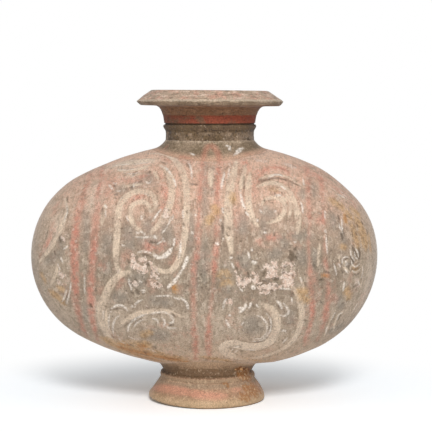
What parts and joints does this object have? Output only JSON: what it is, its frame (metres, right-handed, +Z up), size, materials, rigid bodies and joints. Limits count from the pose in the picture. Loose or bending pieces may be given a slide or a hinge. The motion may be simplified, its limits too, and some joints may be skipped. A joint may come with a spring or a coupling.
{
  "type": "cocoon jar",
  "caption": "Painted grey earthenware jar with an egg-shaped body lying on its side, a short flared neck on top and a low ring foot, built from luted thrown pieces.",
  "frame": {"origin": "on the ground, below the middle of the body's length", "axes": "+X along the lying body towards its shorter half, +Z up through the neck, front towards -Y"},
  "size_m": [0.31, 0.201, 0.278],
  "materials": {
    "painted_body": "grey earthenware with worn cold-painted cloud scrolls and soil",
    "seam_clay": "grey earthenware, smoothed over and painted",
    "neck_clay": "bare grey earthenware with dark pits",
    "mouth_clay": "grey earthenware with a worn red band and a chipped rim",
    "luting_clay": "hand-smoothed grey clay, soiled",
    "foot_clay": "grey earthenware with a worn red band and ochre soil"
  },
  "bodies": {
    "root": {"body_left": "painted_body", "body_right": "painted_body", "seam_lute": "seam_clay", "neck_lute": "luting_clay", "neck": "neck_clay", "mouth_lute": "luting_clay", "mouth": "mouth_clay", "foot_lute": "luting_clay", "foot": "foot_clay"}
  },
  "joints": []
}
